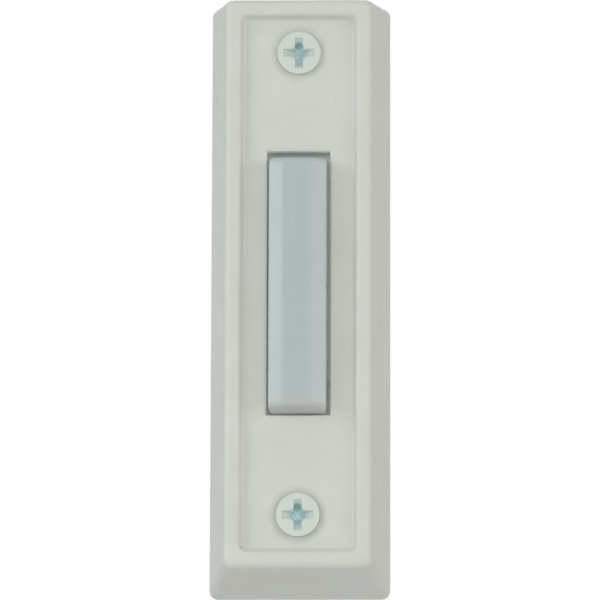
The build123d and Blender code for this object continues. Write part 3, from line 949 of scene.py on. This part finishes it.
@dataclass
class Lamp:
    """The lamp that lights the bar, with its resistor and diode."""

    resin_finish: Finish = ClearFinish(
        # Clear cast epoxy: glassy, with faint flow ripples
        "clear cast epoxy", "#f4f4ee", "#eeeee6",
        patch_size=1.5 * MM, roughness=(0.03, 0.08), grain_size=0.6 * MM, grain_depth=0.001 * MM,
        ior=1.54,
    )
    lead_finish: Finish = Finish(
        # Tinned copper wire: dull bright grey
        "tinned copper wire", "#bdbcb6", "#a9a8a0",
        patch_size=1.0 * MM, roughness=(0.3, 0.45), grain_size=0.1 * MM, grain_depth=0.002 * MM,
        metallic=1.0,
    )

    def build(self) -> None:
        """Dress the lamp, the leads and the two components."""
        dress("lamp", self.resin_finish.material())
        leads = self.lead_finish.material()
        for node in ("lamp_leads", "resistor_leads", "diode_leads"):
            dress(node, leads)
        low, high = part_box("series_resistor")
        dress("series_resistor", BandedFinish(
            # Film resistor in baked lacquer: sandy, glossy, with painted value rings
            "baked resistor lacquer", "#cdb58a", "#c4aa7d",
            patch_size=1.0 * MM, roughness=(0.18, 0.3), grain_size=0.3 * MM, grain_depth=0.002 * MM,
            low=low.z, high=high.z,
            bands=((0.14, "#5a3a22"), (0.38, "#20201f"), (0.56, "#8e2c22"), (0.86, "#b08d3a")),
        ).material())
        low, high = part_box("rectifier_diode")
        dress("rectifier_diode", BandedFinish(
            # Diode in moulded epoxy: black, satin, with a printed ring at the cathode
            "moulded black epoxy", "#1c1c1d", "#242425",
            patch_size=1.0 * MM, roughness=(0.3, 0.42), grain_size=0.15 * MM, grain_depth=0.002 * MM,
            low=low.z, high=high.z, bands=((0.2, "#c9c9c6"),), band_width=0.14,
        ).material())


@dataclass(frozen=True)
class SoftLamp:
    """A round soft lamp that is aimed at the middle of the button."""

    name: str
    turn: float
    rise: float
    level: float
    colour: str
    distance: float = 1.0
    size: float = 0.6
    glint: bool = True

    def build(self) -> None:
        """Hang the lamp at its angle, with the power that gives its level of light at the button."""
        data = bpy.data.lights.new(self.name, "AREA")
        data.shape = "DISK"
        data.size = self.size
        data.energy = self.level * (math.pi * self.distance) ** 2
        data.color = linear(self.colour)[:3]
        lamp = bpy.data.objects.new(self.name, data)
        turn, rise = math.radians(self.turn), math.radians(self.rise)
        toward = Vector((math.sin(turn) * math.cos(rise), -math.cos(turn) * math.cos(rise), math.sin(rise)))
        lamp.location = toward * self.distance
        lamp.rotation_mode = "QUATERNION"
        lamp.rotation_quaternion = (-toward).to_track_quat("-Z", "Y")
        lamp.visible_camera = False
        lamp.visible_glossy = self.glint
        bpy.context.scene.collection.objects.link(lamp)


@dataclass
class Studio:
    """Pale floor, soft lamps round the button, and the camera at the photograph's angle."""

    distance: float = 791.0 * MM
    below: float = math.radians(11.38)
    aside: float = math.radians(1.41)
    roll: float = math.radians(0.169)
    lens: float = 357.2
    shift: tuple[float, float] = (-0.0012, 0.0029)
    floor_drop: float = 400.0 * MM
    floor_size: float = 4.0
    ambient: float = 0.22
    lamps: tuple[SoftLamp, ...] = (
        SoftLamp("left_lamp", -57.0, 13.0, 0.385, "#f9fffd"),
        SoftLamp("right_lamp", 44.0, 11.0, 0.205, "#fffefc"),
        SoftLamp("far_right_lamp", 70.0, 5.0, 0.135, "#fff5e4"),
        SoftLamp("front_lamp", 0.0, 16.0, 0.06, WHITE),
        SoftLamp("high_lamp", 0.0, 70.0, 0.19, WHITE, glint=False),
        SoftLamp("low_lamp", 0.0, -27.0, 0.205, WHITE, distance=0.55, size=0.33, glint=False),
        SoftLamp("back_lamp", 180.0, 20.0, 0.4, WHITE, distance=0.4, size=0.1),
    )

    def build(self) -> None:
        """Set the stage."""
        self.build_camera()
        self.build_world()
        self.build_floor()
        for lamp in self.lamps:
            lamp.build()

    def build_camera(self) -> None:
        """Point the camera at the middle of the wall face, from below and a little to the right."""
        data = bpy.data.cameras.new("camera")
        data.lens = self.lens
        data.shift_x, data.shift_y = self.shift
        camera = bpy.data.objects.new("camera", data)
        bpy.context.scene.collection.objects.link(camera)
        level = math.cos(self.below)
        toward = Vector((
            math.sin(self.aside) * level, -math.cos(self.aside) * level, -math.sin(self.below),
        ))
        camera.location = toward * self.distance
        camera.rotation_mode = "QUATERNION"
        camera.rotation_quaternion = (-toward).to_track_quat("-Z", "Y") @ Quaternion((0, 0, 1), self.roll)
        bpy.context.scene.camera = camera

    def build_world(self) -> None:
        """Even soft light all round, with white behind the object."""
        world = bpy.data.worlds.new("studio")
        bpy.context.scene.world = world
        world.use_nodes = True
        tree = world.node_tree
        tree.nodes.clear()
        light = add_node(tree, "ShaderNodeBackground", {"Color": linear(WHITE), "Strength": self.ambient})
        white = add_node(tree, "ShaderNodeBackground", {"Color": linear(WHITE), "Strength": 1.0})
        mixed = add_node(tree, "ShaderNodeMixShader", {
            0: seen_rays(tree), 1: light.outputs["Background"], 2: white.outputs["Background"],
        })
        add_node(tree, "ShaderNodeOutputWorld", {"Surface": mixed.outputs["Shader"]})

    def build_floor(self) -> None:
        """Pale floor, well below the button, which hangs on a wall."""
        mesh = bmesh.new()
        bmesh.ops.create_grid(
            mesh, size=self.floor_size / 2,
            matrix=Matrix.Translation((0, 0, CAD_BOX[0].z - self.floor_drop)),
        )
        data = bpy.data.meshes.new("floor")
        mesh.to_mesh(data)
        mesh.free()
        paper = PaperFinish(
            # Matt white studio paper
            "studio paper", "#f2f2f0", "#eeeeec",
            patch_size=0.5, roughness=(0.8, 0.9), grain_size=1.0 * MM, grain_depth=0.01 * MM,
        ).material()
        paper.cycles.emission_sampling = "NONE"
        data.materials.append(paper)
        floor = bpy.data.objects.new("floor", data)
        bpy.context.scene.collection.objects.link(floor)


def main() -> None:
    """Build every sub-assembly and the studio."""
    logging.basicConfig(level=logging.INFO)
    bpy.context.scene.view_settings.view_transform = "Standard"
    for unit in (Cover(), PushBar(), WallScrews(), Switch(), Lamp(), Studio()):
        unit.build()
        LOG.info("%s done", type(unit).__name__)


if __name__ == "__main__":
    main()
